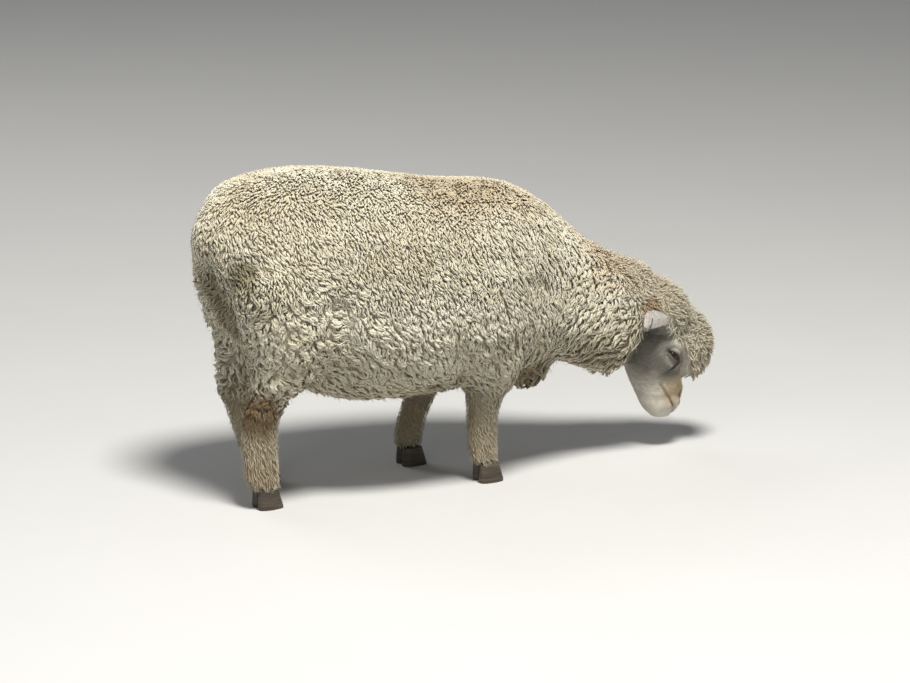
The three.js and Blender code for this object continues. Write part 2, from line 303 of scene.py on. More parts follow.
def add_mesh(name, points, sizes, corners):
    """A smooth-shaded object from arrays: face sizes, then the corners of the faces in order."""
    mesh = bpy.data.meshes.new(name)
    mesh.vertices.add(len(points))
    mesh.vertices.foreach_set("co", np.asarray(points, np.float32).ravel())
    mesh.loops.add(len(corners))
    mesh.loops.foreach_set("vertex_index", np.asarray(corners, np.int32))
    mesh.polygons.add(len(sizes))
    starts = np.concatenate(([0], np.cumsum(sizes)[:-1]))
    mesh.polygons.foreach_set("loop_start", starts.astype(np.int32))
    mesh.update(calc_edges=True)
    mesh.shade_smooth()
    return linked(name, mesh)


def add_triangles(name, points, corners):
    return add_mesh(name, points, np.full(len(corners) // 3, 3), corners)


def relaxed(points, edges, passes, share):
    """Each point moved towards the middle of its neighbours by its own share, some times over."""
    count = np.bincount(edges.ravel(), minlength=len(points))
    both = np.concatenate((edges, edges[:, ::-1]))
    points = points.copy()
    for _ in range(passes):
        sums = [np.bincount(both[:, 0], points[both[:, 1], k], len(points)) for k in range(3)]
        middle = np.stack(sums, axis=1) / np.maximum(count, 1)[:, None]
        points += np.reshape(share, (-1, 1)) * (middle - points)
    return points


def remeshed(source, voxel):
    """The outside of some overlapping or nearly touching solids as one even mesh, in their place."""
    modifier = source.modifiers.new("whole", "REMESH")
    modifier.mode = "VOXEL"
    modifier.voxel_size = voxel
    graph = bpy.context.evaluated_depsgraph_get()
    mesh = bpy.data.meshes.new_from_object(source.evaluated_get(graph))
    bpy.data.objects.remove(source)
    return mesh


def ball(at, half, subdivisions=3):
    """Points and corners of an ellipsoid."""
    bm = bmesh.new()
    bmesh.ops.create_icosphere(bm, subdivisions=subdivisions, radius=1)
    points = np.array([v.co[:] for v in bm.verts]) * half + at
    corners = np.array([[v.index for v in f.verts] for f in bm.faces]).ravel()
    bm.free()
    return points, corners


def joined_solids(nodes, fillers):
    """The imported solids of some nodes, with some balls that fill hollows between them, as one object."""
    meshes = [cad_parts[node].data for node in nodes]
    shapes = fillers + [(coordinates(mesh), triangles(mesh).ravel()) for mesh in meshes]
    bases = np.cumsum([0] + [len(points) for points, _ in shapes])
    corners = [corners + base for (_, corners), base in zip(shapes, bases)]
    return add_triangles("solids", np.concatenate([points for points, _ in shapes]), np.concatenate(corners))


def subdivided_near(mesh, wanted):
    """Splits in two the edges whose ends are both wanted."""
    keep = wanted(coordinates(mesh))
    bm = bmesh.new()
    bm.from_mesh(mesh)
    edges = [e for e in bm.edges if keep[e.verts[0].index] and keep[e.verts[1].index]]
    bmesh.ops.subdivide_edges(bm, edges=edges, cuts=1, use_grid_fill=True)
    bm.to_mesh(mesh)
    bm.free()


# ---- Face ----

# Lines over the face, near it on the left side: face_lines lays them on the skin.
FACE_LINES = {
    "mouth": [(0.4597, 0.042, 0.1507), (0.473, 0.038, 0.1334), (0.4871, 0.032, 0.112),
              (0.498, 0.024, 0.091), (0.503, 0.012, 0.068), (0.503, 0, 0.058)],
    "nostril": [(0.525, 0.0065, 0.082), (0.529, 0.014, 0.090), (0.527, 0.021, 0.103), (0.516, 0.026, 0.116)],
    "cleft": [(0.530, 0, 0.094), (0.525, 0, 0.080), (0.515, 0, 0.066), (0.505, 0, 0.058)],
    "tears": [(0.4968, 0.058, 0.2048), (0.4921, 0.057, 0.1964), (0.4800, 0.056, 0.1877),
              (0.4743, 0.055, 0.1779)],
    "cheekbone": [(0.488, 0.058, 0.186), (0.462, 0.064, 0.205), (0.432, 0.066, 0.235)],
}
# Ridges and creases along those lines: height, what the lips add to it, and width.
FACE_RIDGES = {
    "cheekbone": (0.0026, 0, 0.009),
    "mouth": (-0.0045, -0.0055, 0.0030),
    "nostril": (-0.0085, 0, 0.0032),
    "tears": (-0.0022, 0, 0.0030),
    "cleft": (-0.0035, 0, 0.0022),
}
# Round forms of bone and flesh: height, place and radius. Those on the midline count twice.
FACE_FORMS = [
    (0.0040, (0.418, 0.062, 0.235), 0.050),  # cheek muscle
    (-0.0050, (0.478, 0.052, 0.165), 0.036),  # hollow before the eye
    (0.0035, (0.503, 0.050, 0.232), 0.026),  # brow
    (-0.0035, (0.440, 0.050, 0.150), 0.035),  # behind the mouth's corner
    (0.0040, (0.514, 0.026, 0.104), 0.018),  # wing of the nostril
    (0.0035, (0.494, 0.034, 0.104), 0.022),  # upper lip
    (0.0030, (0.470, 0.032, 0.092), 0.024),  # lower lip
    (0.0020, (0.478, 0, 0.062), 0.030),  # chin
    (-0.00125, (0.540, 0, 0.135), 0.030),  # saddle of the nose
]
SLIT_ALONG = (0.74, 0.0, -0.67)  # the eye's long axis, from its outer corner to its inner one
SLIT_HALF_LENGTH = 0.0178
SLIT_HALF_WIDTH = 0.0040
SLIT_DROP = -0.0015
SLIT_BACK = 0.0015  # how far the opening lies towards the outer corner
SLIT_BOW = 5  # how much its ends rise, per metre
LID_RING = (0.025, 0.0145)  # the lids fade out between these distances from the eye's middle
LID_RING_LONG = 1.15  # how much longer than high
LID_THICKNESS = 0.0017
UPPER_LID_THICKER = 0.0027
SLIT_DEPTH = 0.003  # below the front of the eyeball
LID_CREASE = dict(depth=0.0014, distance=0.0175, width=0.0016)


def laid_on(line, points):
    """A polyline divided into short steps, each moved to the nearest of some points of the skin."""
    line = np.array(line)
    steps = np.linspace(0, len(line) - 1, 6 * len(line))
    fine = np.stack([np.interp(steps, np.arange(len(line)), line[:, k]) for k in range(3)], axis=1)
    return points[nearest(fine, points)]


def face_lines(points):
    """Every line of the face on both sides, laid on the skin."""
    ahead = points[points[:, 0] > HEAD_FROM]
    return {
        name: [laid_on(mirrored(line, side), ahead) for side in SIDES]
        for name, line in FACE_LINES.items()
    }


def line_glow(p, lines, width):
    """1 on some lines, fading away from them over a width."""
    near = np.minimum(*(line_distance(p, line) for line in lines))
    return np.exp(-((near / width) ** 2))


def eye_axes(side):
    """Outward, along the slit and towards the upper lid."""
    out = unit(mirrored(EYE_OUTWARD, side))
    along = np.array(SLIT_ALONG)
    along = unit(along - out * (along @ out))
    upward = np.cross(along, out) * side
    return out, along, upward


def eye_measures(p, side):
    """Way from the eyeball's middle, and how far it goes outward, along the slit and across it."""
    out, along, upward = eye_axes(side)
    away = p - mirrored(EYE_AT, side)
    return away, away @ out, away @ along + SLIT_BACK, away @ upward


def slit_depth(q1, q2):
    """Positive inside the opening between the lids."""
    half = SLIT_HALF_WIDTH * (1 - (q1 / SLIT_HALF_LENGTH) ** 2)
    return half - np.abs(q2 - SLIT_DROP - SLIT_BOW * q1 * q1)


def lids(p, side):
    """Wraps the skin over the eyeball as two lids with an opening between them."""
    away, out, q1, q2 = eye_measures(p, side)
    ring = np.hypot(q1 / LID_RING_LONG, q2)
    over = ease(*LID_RING, ring) * (out > 0)
    thick = LID_THICKNESS + UPPER_LID_THICKER * ease(-0.002, 0.004, q2 - SLIT_DROP)
    opened = ease(-0.0006, 0.0008, slit_depth(q1, q2))
    radius = EYE_RADIUS + thick * (1 - opened) - SLIT_DEPTH * opened
    target = away * (radius / np.maximum(np.linalg.norm(away, axis=1), 1e-6))[:, None]
    crease = np.exp(-(((ring - LID_CREASE["distance"]) / LID_CREASE["width"]) ** 2)) * (q2 > SLIT_DROP)
    moved = p + over[:, None] * (target - away)
    return moved - LID_CREASE["depth"] * crease[:, None] * eye_axes(side)[0]


def rounded_muzzle(p):
    """Draws the end of the muzzle in to lips and chin."""
    low = ease(0.112, 0.058, p[:, 2]) * (p[:, 0] > HEAD_FROM)
    p = p.copy()
    p[:, :2] = MUZZLE_MIDDLE + (p[:, :2] - MUZZLE_MIDDLE) * (1 - MUZZLE_TAPER * low**2)[:, None]
    return p


def sculpted_face(p, normals, lines):
    """Bone and flesh of the face on the plain skin: cheeks, brows, nose, lips and lids."""
    form = sum(height * both_sides(p, at, radius) for height, at, radius in FACE_FORMS)
    lips = ease(0.095, 0.065, p[:, 2])
    for name, (height, at_lips, width) in FACE_RIDGES.items():
        form += (height + at_lips * lips) * line_glow(p, lines[name], width)
    p = p + normals * form[:, None]
    for side in SIDES:
        p = lids(p, side)
    return p


def near_features(p):
    """True near the lines of the face, cheekbones apart, and round the eyes."""
    close = np.zeros(len(p), bool)
    for side in SIDES:
        for name in ("mouth", "nostril", "tears", "cleft"):
            close |= line_distance(p, mirrored(FACE_LINES[name], side)) < LINE_REACH
        _, out, q1, q2 = eye_measures(p, side)
        close |= (np.hypot(q1, q2) < EYE_REACH) & (out > -0.004)
    return close


# ---- Ears ----

def ear_axes(side):
    """Root, tip, the way across the blade and the way its hollow faces."""
    root, tip = mirrored(EAR_ROOT, side), mirrored(EAR_TIP, side)
    along = unit(tip - root)
    tilt = math.radians(EAR_TILT)
    back = mirrored((0, math.cos(tilt), math.sin(tilt)), side)
    face = unit(np.cross(np.cross(back, along), along))
    return root, tip, np.cross(along, face), face


def ear_blade(t):
    """Half the blade's width at shares t of its length, and how far its middle lies above the line."""
    above, below = (np.interp(t, EAR_LENGTHS, widths) for widths in (EAR_ABOVE, EAR_BELOW))
    return (above + below) / 2, (above - below) / 2


def ear_points(side, rings=48, sides=40):
    """A leaf with its straight edge below, hollow inside, the rim thickened and nicked near the tip."""
    root, tip, across, face = ear_axes(side)
    upward = 1 if across[2] > 0 else -1
    t = np.linspace(0, 1, rings)[:, None]
    turn = np.linspace(0, 2 * math.pi, sides, endpoint=False)[None, :]
    c, s = np.cos(turn), np.sin(turn)
    half, middle = ear_blade(t)
    half *= np.sqrt(np.clip(1 - np.clip((t - 0.9) / 0.1, 0, 1) ** 2, 0.004, 1))
    for _ in range(3):
        half[1:-1] = (half[:-2] + 2 * half[1:-1] + half[2:]) / 4
    depth = np.interp(t, EAR_LENGTHS, EAR_HALF_DEPTHS)
    low_edge = np.clip(-upward * c, 0, 1)
    at_nick = np.exp(-(((t - EAR_CUT[0][0]) / EAR_NICK["width"]) ** 2))
    nick = 1 - EAR_NICK["depth"] * at_nick * low_edge**2
    wide = upward * middle + half * c * nick
    rim = EAR_RIM * np.abs(c) ** 6 * s
    cup = EAR_CUP * np.sin(math.pi * t) * (c * c - 0.5)
    curl = EAR_CURL * low_edge**4 * np.sin(math.pi * np.clip(t * 1.1, 0, 1))
    shift = depth * s * (1 - 0.3 * c * c) + rim + cup - curl
    points = root + (tip - root) * t[..., None] + across * wide[..., None] + face * shift[..., None]
    points[..., 2] -= EAR_DROOP * t**2
    return points


def ear_cut(side):
    """The line of the slit in an ear."""
    root, tip, across, _ = ear_axes(side)
    upward = 1 if across[2] > 0 else -1
    line = []
    for t, place in EAR_CUT:
        half, middle = ear_blade(t)
        sag = np.array([0, 0, EAR_DROOP * t * t])
        line.append(root + (tip - root) * t + across * upward * (middle + place * half) - sag)
    return line


def add_ears(skin):
    """Joins the two ears into the skin, rooted in the wool of the head."""
    bm = bmesh.new()
    bm.from_mesh(skin.data)
    fields = [bm.verts.layers.float[key] for key in ("ear", "bare")]
    for side in SIDES:
        rows = [[bm.verts.new(p) for p in row] for row in ear_points(side)]
        for vert in sum(rows, []):
            for field in fields:
                vert[field] = 1
        faces = []
        for row, above in zip(rows, rows[1:]):
            faces += zip(row, row[1:] + row[:1], above[1:] + above[:1], above)
        faces += [rows[-1], rows[0][::-1]]
        made = [bm.faces.new(face) for face in faces]
        bmesh.ops.recalc_face_normals(bm, faces=made)
        for face in made:
            face.smooth = True
    bm.to_mesh(skin.data)
    bm.free()


# ---- Skin ----

FLESH = [n for n in sorted(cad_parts) if not n.startswith(("claw", "eye"))]


def rough_skin():
    """The solids under the coat as one mesh, finer on the face and finest at its features."""
    sockets = [ball(mirrored(EAR_SOCKET["at"], side), EAR_SOCKET["half"]) for side in SIDES]
    nodes = [n for n in sorted(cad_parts) if not n.startswith(("claw", "ear"))]
    mesh = remeshed(joined_solids(nodes, sockets), SKIN_VOXEL)
    subdivided_near(mesh, lambda p: on_bare_face(p) > 0.3)
    subdivided_near(mesh, lambda p: near_features(p) & (on_bare_face(p) > 0.3))
    return mesh


def sunk(mesh, edges, thin):
    """The mesh's points, smoothed and moved in from the tips of the coat to its roots."""
    tips = relaxed(coordinates(mesh), edges, OUTLINE_PASSES, 0.5 * (1 - thin) + 0.3 * thin)
    move(mesh, tips)
    normals = vertex_normals(mesh)
    inward = normals.copy()
    inward[:, 2] *= 1 - ease(*PASTERN_TOP, tips[:, 2]) * (tips[:, 0] < HEAD_FROM)
    step = coat_depth(tips)[:, None] / DEPTH_STEPS
    points = tips - normals * (FOLD_DEPTH * in_folds(tips))[:, None]
    for _ in range(DEPTH_STEPS):
        points = relaxed(points - inward * step, edges, 2, 0.4 * (1 - thin))
    return points


def build_skin():
    """One skin under the whole coat, with the fields that the coat is planted from, and the face's lines."""
    mesh = rough_skin()
    edges = edge_list(mesh)
    tips = coordinates(mesh)
    thin = on_thin_coat(tips)
    points = sunk(mesh, edges, thin)
    brow = both_sides(points, **BROW_EDGE)
    points = relaxed(points, edges, BROW_PASSES, 0.5 * np.sqrt(brow) * thin)
    points = rounded_muzzle(points)
    points = relaxed(points, edges, MUZZLE_PASSES, 0.5 * ease(0.100, 0.070, points[:, 2]) * thin)
    move(mesh, points)
    lines = face_lines(points)
    move(mesh, sculpted_face(points, vertex_normals(mesh), lines))
    mesh.shade_smooth()
    mesh.name = "skin"
    write_values(mesh, {"bare": on_bare_face(tips), "ear": np.zeros(len(tips))})
    return linked("skin", mesh), lines


# ---- Planting ----

PACKING = 0.85  # least distance between two strands, as a share of their spacing


def spread(points, radius):
    """Indices of a subset in which no two points are nearer than their radius."""
    cell = radius.max()
    keys = np.floor(points / cell).astype(int).tolist()
    places, limits = points.tolist(), (radius**2).tolist()
    grid, kept = {}, []
    steps = [(i, j, k) for i in (-1, 0, 1) for j in (-1, 0, 1) for k in (-1, 0, 1)]
    for index, (x, y, z) in enumerate(keys):
        px, py, pz = places[index]
        limit = limits[index]
        near = (q for i, j, k in steps for q in grid.get((x + i, y + j, z + k), ()))
        if all((qx - px) ** 2 + (qy - py) ** 2 + (qz - pz) ** 2 >= limit for qx, qy, qz in near):
            grid.setdefault((x, y, z), []).append((px, py, pz))
            kept.append(index)
    return np.array(kept, int)


def nearest(points, seeds):
    """For each point, which of the seeds lies nearest."""
    tree = KDTree(len(seeds))
    for index, seed in enumerate(seeds.tolist()):
        tree.insert(seed, index)
    tree.balance()
    return np.array([tree.find(p)[1] for p in points.tolist()])


class Ground:
    """The skin as something to plant on."""

    def __init__(self, mesh):
        self.points = coordinates(mesh)
        self.normals = vertex_normals(mesh)
        self.tris = triangles(mesh)
        a, b, c = (self.points[self.tris[:, k]] for k in range(3))
        whole = np.cross(b - a, c - a)
        self.areas = np.linalg.norm(whole, axis=1) / 2
        self.up = unit(whole)
        self.middles = (a + b + c) / 3
        self.bare = read_values(mesh, "bare")[self.tris].mean(axis=1)
        self.ear = read_values(mesh, "ear")[self.tris].mean(axis=1)
        self.woolly = (self.bare < 0.5).astype(float)

    def plant(self, spacing, wanted, crowding=3.2):
        """Root places and their normals; spacing and wanted are per triangle."""
        chance = self.areas * wanted / spacing**2
        total = int(chance.sum() * crowding)
        pick = RNG.choice(len(chance), total, p=chance / chance.sum())
        u, v = RNG.random(total), RNG.random(total)
        flip = u + v > 1
        u[flip], v[flip] = 1 - u[flip], 1 - v[flip]
        weights = np.stack((1 - u - v, u, v), axis=1)[..., None]
        at = (self.points[self.tris[pick]] * weights).sum(axis=1)
        up = unit((self.normals[self.tris[pick]] * weights).sum(axis=1))
        kept = spread(at, spacing[pick] * PACKING)
        return at[kept], up[kept]


def lie(p, up):
    """Which way the coat lies: down the sides, back over the neck and the buttocks, forward on the head."""
    x, y, z = p.T
    head = ease(0.36, 0.46, x)
    neck = on_neck(p) * (1 - head)
    thigh = on_thigh(p)
    body = (1 - head) * (1 - neck) * (1 - thigh)
    throat = ease(0.06, -0.06, z - 0.47 + 0.45 * (x - 0.15))
    # Beside a fall of 1: how far forward, and how far outward.
    way = np.zeros_like(p)
    way[:, 0] = (0.26 - 0.55 * ease(0.30, 0.80, up[:, 2])) * body + 0.55 * head - (0.2 + 1.5 * throat) * neck
    way[:, 0] += thigh * (0.5 * ease(-0.46, -0.38, x) - 1.2 * ease(-0.46, -0.53, x))
    way[:, 1] = 0.9 * y / (np.abs(y) + 0.05) * (1 - 0.75 * head)
    way[:, 2] = -1.0
    face = on_bare_face(p)[:, None]
    upward = 0.45 * ease(0.21, 0.12, z) - 0.15
    facial = np.stack((np.full(len(p), -0.75), 0.15 * y / (np.abs(y) + 0.01), upward), axis=1)
    return unit(in_surface(way * (1 - face) + face * facial, up))


# ---- The wool, region by region ----

# spacing: between strands; staple: between the bundles that they gather into; reach: length of a
# strand along the coat; width: of a strand; curl: radians that it turns sideways by its tip; sway and
# ripple: size of the crimp, sideways and outwards; waves: crimps along a strand; together: how far
# neighbouring bundles crimp in step; gather: how far the tips close up on the bundle's middle;
# rooted: how far the roots stand together already; stray: wander of the bundles' direction;
# relief: how far the lowest bundles sink, as a share of the coat's depth.
WOOL_MEASURES = ("spacing", "staple", "reach", "width", "curl", "sway", "ripple", "waves", "together",
                 "gather", "rooted", "stray", "relief")
WOOL = {
    "back": (0.0053, 0.0100, 0.0130, 0.0069, 0.8, 0.0012, 0.0006, 0.9, 0.40, 0.06, 0.00, 0.35, 0.07),
    "rump": (0.0054, 0.0115, 0.0175, 0.0069, 0.5, 0.0018, 0.0009, 1.1, 0.50, 0.14, 0.00, 0.20, 0.12),
    "flank": (0.0054, 0.0110, 0.0175, 0.0066, 0.5, 0.0018, 0.0010, 1.1, 0.50, 0.16, 0.00, 0.20, 0.18),
    "shoulder": (0.0057, 0.0120, 0.0245, 0.0056, 0.5, 0.0020, 0.0012, 1.3, 0.60, 0.35, 0.00, 0.20, 0.28),
    "skirt": (0.0060, 0.0130, 0.0215, 0.0060, 0.6, 0.0026, 0.0016, 1.5, 0.60, 0.40, 0.15, 0.26, 0.40),
    "thigh": (0.0058, 0.0155, 0.0225, 0.0070, 1.2, 0.0036, 0.0026, 1.8, 0.70, 0.46, 0.12, 0.28, 0.44),
    "neck": (0.0064, 0.0140, 0.0260, 0.0076, 0.4, 0.0036, 0.0018, 1.6, 0.85, 0.45, 0.15, 0.20, 0.30),
    "head": (0.0042, 0.0085, 0.0110, 0.0034, 1.6, 0.0010, 0.0008, 1.0, 0.10, 0.20, 0.00, 0.90, 0.22),
    "shank": (0.0045, 0.0090, 0.0110, 0.0026, 0.5, 0.0005, 0.0003, 0.8, 0.30, 0.25, 0.00, 0.22, 0.18),
    "under": (0.0085, 0.0170, 0.0260, 0.0072, 1.0, 0.0022, 0.0014, 1.3, 0.40, 0.40, 0.10, 0.40, 0.40),
}
SLIM_SHARE = 0.16  # of the strands are much thinner than the rest
SLIM = 0.45
ROOT_SINK = 0.001  # of a lock's root, below the skin
FOLD_SINK = 0.55  # share of its height that a lock loses in a crease
# Short hair: length, width, height, and how far the root sinks.
HAIR = dict(reach=0.0085, width=0.0018, rise=0.0018, sink=0.0003)
EDGE_HAIR_RISE = 0.003  # more height, towards the wool
EAR_HAIR_SIZE = 0.55
EAR_HAIR_RISE = 0.0009
HAIR_SPACING = 0.0030
FINE_HAIR_SPACING = 0.0019
EAR_HAIR_SPACING = 0.0024
FLUFF_SPACING = 0.0165


def wool_regions(p, up):
    """How far each region reaches over each point: shares that add up to 1, the first named served first."""
    x, y, z = p.T
    hidden = ease(0.30, 0.26, z) * ease(0.15, -0.35, up[:, 2]) * ease(0.13, 0.09, np.abs(y))
    inside = ease(0.10, 0.05, np.abs(y)) * ease(0.50, 0.44, z) * ease(-0.30, -0.40, x)
    masks = {
        "shank": on_shank(p),
        "under": np.maximum(hidden, inside),
        "head": on_head_wool(p),
        "back": ease(0.38, 0.90, up[:, 2]),
        "neck": on_neck(p),
        "thigh": on_thigh(p),
        "rump": ease(-0.30, -0.38, x - 0.35 * (z - 0.5)),
        "skirt": ease(0.44, 0.31, z + 0.08 * x),
        "shoulder": ease(-0.03, 0.05, x),
    }
    left = np.ones(len(p))
    shares = {}
    for name, mask in masks.items():
        shares[name] = left * mask
        left = left * (1 - mask)
    shares["flank"] = left
    return shares


def blend(shares, measure):
    column = WOOL_MEASURES.index(measure)
    return sum(share * WOOL[name][column] for name, share in shares.items())


def jittered(count, low, high):
    return RNG.uniform(low, high, count)


def chosen(strands, keep):
    return {k: v[keep] for k, v in strands.items()}


def staples(ground):
    """The bundles: where each stands, and what its strands have in common."""
    shares = wool_regions(ground.middles, ground.up)
    at, up = ground.plant(blend(shares, "staple"), ground.woolly)
    shares = wool_regions(at, up)
    n = len(at)
    turn = 0.6 * drift(at, 0.06, 4.0) + 0.5 * drift(at, 0.02, 9.0) + jittered(n, -0.5, 0.5)
    together = blend(shares, "together")
    return {
        "at": at,
        "turn": turn * blend(shares, "stray") * 1.4,
        "curl": np.where(drift(at, 0.03, 6.0) + jittered(n, -0.5, 0.5) < 0, -1, 1) * jittered(n, 0.4, 1.3),
        "phase": 2.2 * drift(at, 0.045, 2.0) * together + jittered(n, 0, 1) * (1 - together),
        "height": 1 - blend(shares, "relief") * RNG.random(n) ** 1.4,
        "size": blend(shares, "staple"),
        "tone": jittered(n, 0, 1),
    }


def wool_strands(ground):
    """Crimped strands all over the fleece, gathered into staples."""
    shares = wool_regions(ground.middles, ground.up)
    at, up = ground.plant(blend(shares, "spacing"), ground.woolly)
    shares = wool_regions(at, up)
    bundles = staples(ground)
    bundle = chosen(bundles, nearest(at, bundles["at"]))
    n = len(at)
    to_middle = in_surface(bundle["at"] - at, up)
    outer = np.linalg.norm(to_middle, axis=1) / bundle["size"]
    rooted = blend(shares, "rooted")[:, None]
    gather = blend(shares, "gather")
    loose = 1 - gather
    wisp = both_sides(at, **WISP)
    way = lie(at, up)
    turn = bundle["turn"] + jittered(n, -0.32, 0.32) * loose
    along = way * np.cos(turn)[:, None] + np.cross(up, way) * np.sin(turn)[:, None]
    slim = np.where(RNG.random(n) < SLIM_SHARE, SLIM, 1.0)
    rise = coat_depth(at) * bundle["height"] * (1 - 0.7 * gather * outer.clip(0, 1))
    strands = {
        "at": at - up * ROOT_SINK + to_middle * rooted,
        "up": up,
        "along": unit(along),
        "pull": to_middle * (1 - rooted) * gather[:, None],
        "reach": blend(shares, "reach") * jittered(n, 0.75, 1.25) * (1 + 1.3 * wisp),
        "width": blend(shares, "width") * jittered(n, 0.8, 1.15) * slim,
        "flat": jittered(n, 0.45, 0.7),
        "rise": rise * (1 - FOLD_SINK * in_folds(at)) * jittered(n, 0.9, 1.06),
        "curl": blend(shares, "curl") * bundle["curl"] * jittered(n, 0.8, 1.2),
        "sway": blend(shares, "sway") * jittered(n, 0.6, 1.2),
        "ripple": blend(shares, "ripple") * jittered(n, 0.6, 1.2),
        "waves": blend(shares, "waves") * jittered(n, 0.9, 1.1),
        "phase": bundle["phase"] + jittered(n, -0.16, 0.16) * loose,
    }
    # Bundles that sink lower are painted darker, as shade; otherwise the tone is random, and high on the
    # paler wisps.
    tone = (0.6 * bundle["tone"] + jittered(n, 0, 0.4)) * bundle["height"] ** 2
    return strands | {"tone": np.maximum(tone, 1.4 * wisp)}


def fluff(ground):
    """Thin loose fibres that soften the fleece's outline."""
    spacing = FLUFF_SPACING - 0.006 * on_head_wool(ground.middles) - 0.004 * on_shank(ground.middles)
    at, up = ground.plant(spacing, ground.woolly, crowding=2.5)
    n = len(at)
    depth = coat_depth(at)
    nape = ease(0.2, 0.35, at[:, 0]) * ease(0.1, 0.5, up[:, 2])
    return {
        "at": at + up * (depth * 0.4)[:, None],
        "up": up,
        "along": lie(at, up),
        "pull": np.zeros((n, 3)),
        "reach": 0.015 * jittered(n, 0.5, 1.4) * (1 + 0.5 * nape),
        "width": 0.0010 * jittered(n, 0.7, 1.3),
        "flat": jittered(n, 0.7, 1.0),
        "rise": depth * jittered(n, 0.6, 0.9),
        "curl": jittered(n, -2.2, 2.2),
        "sway": 0.0012 * jittered(n, 0.3, 1.2),
        "ripple": 0.0008 * jittered(n, 0.3, 1.2),
        "waves": jittered(n, 0.8, 2.0),
        "phase": jittered(n, 0, 1),
        "tone": jittered(n, 0.6, 1),
    }


def hairs(ground, wanted, spacing, size, way=lie):
    """Short uncrimped hairs that lie nearly flat; size shortens and thins them place by place."""
    at, up = ground.plant(np.full(len(ground.areas), spacing), wanted)
    n = len(at)
    scale = size(at)
    rise = HAIR["rise"] * scale + EDGE_HAIR_RISE * (1 - on_bare_face(at))
    uncrimped = {key: np.zeros(n) for key in ("sway", "ripple", "waves", "phase")}
    return uncrimped | {
        "at": at - up * HAIR["sink"],
        "up": up,
        "along": way(at, up),
        "pull": np.zeros((n, 3)),
        "reach": HAIR["reach"] * scale * jittered(n, 0.7, 1.4),
        "width": HAIR["width"] * scale * jittered(n, 0.7, 1.3),
        "flat": jittered(n, 0.4, 0.7),
        "rise": rise * jittered(n, 0.7, 1.6),
        "curl": jittered(n, -0.5, 0.5),
        "tone": jittered(n, 0, 1),
    }


def hair_size(p):
    """Down to a third round the eyes and on the lips and nose."""
    near_eye = both_sides(p, EYE_AT_SKIN, 0.036)
    return 1 - np.maximum(0.65 * ease(0.155, 0.095, p[:, 2]), np.minimum(0.65, 1.4 * near_eye))


def face_hairs(ground, lines):
    """Hair of the face: the longer on cheeks and jaw, then the fine hair of nose, lips and lids."""
    shown = (ground.bare >= 0.4) & (ground.ear < 0.5)
    small = ease(0.75, 0.60, hair_size(ground.middles))
    for wanted, spacing in ((shown * (1 - small), HAIR_SPACING), (shown * small, FINE_HAIR_SPACING)):
        strands = hairs(ground, wanted, spacing, hair_size)
        strands |= face_marks(strands["at"], lines)
        yield chosen(strands, strands["dark_and_shade"] < 0.55)


def to_ear_tip(at, up):
    """The way along the skin of an ear towards its tip."""
    x, y, z = np.subtract(EAR_TIP, EAR_ROOT)
    side = np.where(at[:, 1:2] > 0, 1, -1)
    return unit(in_surface(side * (0, y, 0) + (x, 0, z - 0.02), up))


def ear_hairs(ground, lines):
    """Down on the ears, lying towards their tips."""
    wanted = (ground.ear > 0.5) * (ground.areas > 0)
    strands = hairs(ground, wanted, EAR_HAIR_SPACING, lambda at: np.full(len(at), EAR_HAIR_SIZE), to_ear_tip)
    strands["rise"] = EAR_HAIR_RISE * jittered(len(strands["at"]), 0.5, 1.8)
    strands |= face_marks(strands["at"], lines)
    return chosen(strands, strands["dark_and_shade"] < 0.5)


# ---- The face's markings ----

# Lines that the dark skin of the tear lines, the painted shade of mouth, nostril and cleft, and the nose
# leather follow: strength and width.
FACE_DARK_AND_SHADE = {"tears": (1.0, 0.0046), "mouth": (0.9, 0.0019), "nostril": (1.0, 0.0032), "cleft": (0.7, 0.0018)}
NOSE_LEATHER = {"nostril": (1.0, 0.0085), "mouth": (0.6, 0.0045)}
EAR_SLIT_WIDTH = 0.0020
BROWN_MUZZLE = dict(at=(0.500, 0.036, 0.132), radius=0.055)
# painted shade on the cheeks and round the eyes
CHEEK_SHADE = dict(at=(0.425, 0.060, 0.235), radius=0.090)
EYE_RING_SHADE = dict(at=(0.487, 0.058, 0.190), radius=0.050)


def on_lines(p, lines, wanted):
    """The strongest of some of the face's lines at each point."""
    glows = [strength * line_glow(p, lines[name], width) for name, (strength, width) in wanted.items()]
    return np.max(glows, axis=0)


def eye_rim(p, side):
    """The dark skin of an eye's opening and its edges."""
    _, out, q1, q2 = eye_measures(p, side)
    depth = slit_depth(q1, q2)
    rim = np.maximum(ease(-0.0036, -0.0010, depth), 0.54 * ease(-0.0100, -0.0030, depth))
    return rim * (out > 0) * (np.hypot(q1, q2) < EYE_REACH)


def ear_slit(p, side):
    """The slit of an ear, as a line of painted shade through the whole blade."""
    root, _, _, face = ear_axes(side)
    away = (p - root) @ face
    line = [q - face * ((q - root) @ face) for q in ear_cut(side)]
    near = line_distance(p - np.outer(away, face), line)
    return np.exp(-((near / EAR_SLIT_WIDTH) ** 2)) * (np.abs(away) < 0.02)


def face_marks(p, lines):
    """The face's markings at some points: dark lid rims and tear lines, painted shade in the creases,
    nostrils and ear slits, nose leather, brown nose, and painted shade on the cheeks and round the eyes.
    """
    dark_and_shade = on_lines(p, lines, FACE_DARK_AND_SHADE)
    for side in SIDES:
        dark_and_shade = np.maximum(dark_and_shade, np.maximum(eye_rim(p, side), ear_slit(p, side)))
    face_shade = 1.8 * both_sides(p, **CHEEK_SHADE) + 1.6 * both_sides(p, **EYE_RING_SHADE)
    return {
        "dark_and_shade": dark_and_shade,
        "nose": on_lines(p, lines, NOSE_LEATHER),
        "brown": np.minimum(1, 1.3 * both_sides(p, **BROWN_MUZZLE)),
        "face_shade": np.minimum(1, face_shade),
    }


